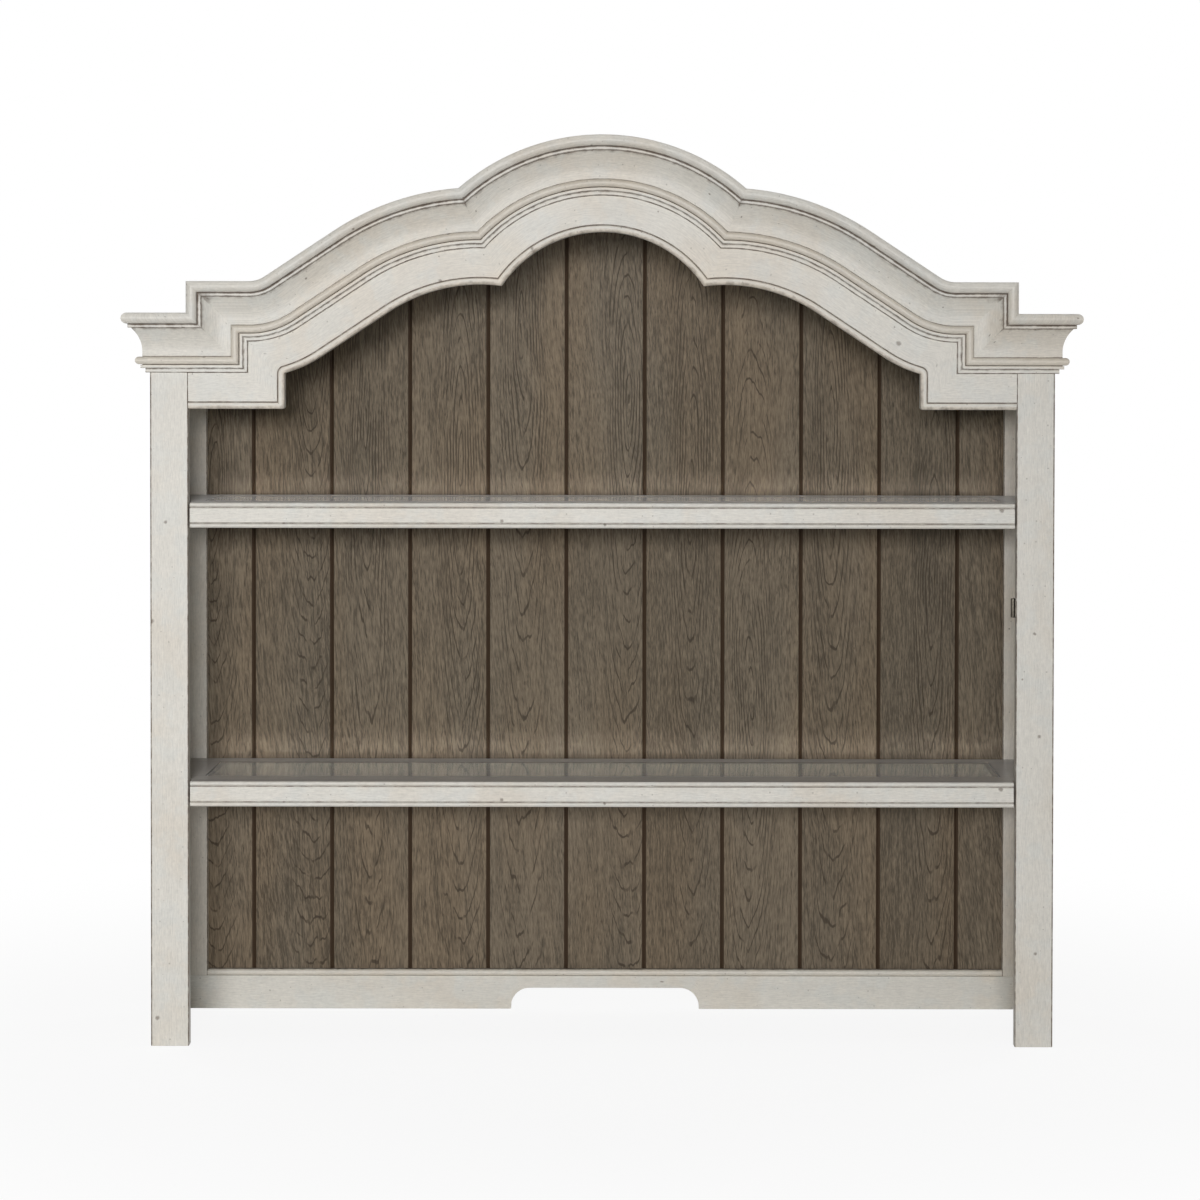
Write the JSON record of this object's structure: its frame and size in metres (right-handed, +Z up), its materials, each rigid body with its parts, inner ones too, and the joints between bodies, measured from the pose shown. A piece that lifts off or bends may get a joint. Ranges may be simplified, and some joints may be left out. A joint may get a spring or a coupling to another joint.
{
  "type": "credenza hutch",
  "caption": "Open credenza hutch with a stepped and arched crown, plank back, loose shelves with glass inserts and a bottom rail cut out for wires.",
  "frame": {"origin": "on the standing surface, under the middle of the bounding box", "axes": "+X to the viewer's right, +Y to the back, +Z up"},
  "size_m": [1.432, 0.356, 1.3681],
  "materials": {
    "painted_wood": "off-white paint with a brown glaze in the grooves, satin",
    "plank_stain": "grey-brown stain over open grain, matt",
    "shelf_stain": "grey-brown stain, satin",
    "clear_glass": "clear, polished edges",
    "bronze": "dark bronze, brushed",
    "steel": "nickel plated",
    "lamp_plastic": "white, matt",
    "diffuser": "frosted white"
  },
  "bodies": {
    "case": {"arch_fascia": "painted_wood", "back_plank_01": "plank_stain", "back_plank_02": "plank_stain", "back_plank_03": "plank_stain", "back_plank_04": "plank_stain", "back_plank_05": "plank_stain", "back_plank_06": "plank_stain", "back_plank_07": "plank_stain", "back_plank_08": "plank_stain", "back_plank_09": "plank_stain", "back_plank_10": "plank_stain", "back_plank_11": "plank_stain", "back_stile_left": "painted_wood", "back_stile_right": "painted_wood", "bottom_rail": "painted_wood", "bottom_rail_cap": "painted_wood", "crown_center": "painted_wood", "crown_end_left": "painted_wood", "crown_end_right": "painted_wood", "crown_return_left": "painted_wood", "crown_return_right": "painted_wood", "crown_riser_left": "painted_wood", "crown_riser_right": "painted_wood", "crown_wave_left": "painted_wood", "crown_wave_right": "painted_wood", "dimmer_box": "lamp_plastic", "lamp": "lamp_plastic", "lamp_board": "plank_stain", "lamp_diffuser": "diffuser", "lower_shelf_pins": "steel", "roof_center": "painted_wood", "roof_end_left": "painted_wood", "roof_end_right": "painted_wood", "roof_riser_left": "painted_wood", "roof_riser_right": "painted_wood", "roof_wave_left": "painted_wood", "roof_wave_right": "painted_wood", "side_panel_left": "painted_wood", "side_panel_right": "painted_wood", "stile_left": "painted_wood", "stile_right": "painted_wood", "touch_switch": "bronze", "upper_shelf_pins": "steel"},
    "lower_shelf": {"lower_shelf_nosing": "painted_wood", "lower_shelf_front_rail": "shelf_stain", "lower_shelf_back_rail": "shelf_stain", "lower_shelf_side_rail_left": "shelf_stain", "lower_shelf_side_rail_right": "shelf_stain"},
    "upper_shelf": {"upper_shelf_nosing": "painted_wood", "upper_shelf_front_rail": "shelf_stain", "upper_shelf_back_rail": "shelf_stain", "upper_shelf_side_rail_left": "shelf_stain", "upper_shelf_side_rail_right": "shelf_stain"},
    "lower_glass": {"lower_shelf_glass": "clear_glass"},
    "upper_glass": {"upper_shelf_glass": "clear_glass"}
  },
  "joints": [
    {"name": "lower_shelf_lift", "type": "slide", "parent": "case", "child": "lower_shelf", "axis": [0, 0, 1], "range_m": [0, 0.244]},
    {"name": "upper_shelf_lift", "type": "slide", "parent": "case", "child": "upper_shelf", "axis": [0, 0, 1], "range_m": [0, 0.138]},
    {"name": "lower_glass_lift", "type": "slide", "parent": "lower_shelf", "child": "lower_glass", "axis": [0, 0, 1], "range_m": [0, 0.04]},
    {"name": "upper_glass_lift", "type": "slide", "parent": "upper_shelf", "child": "upper_glass", "axis": [0, 0, 1], "range_m": [0, 0.04]}
  ]
}
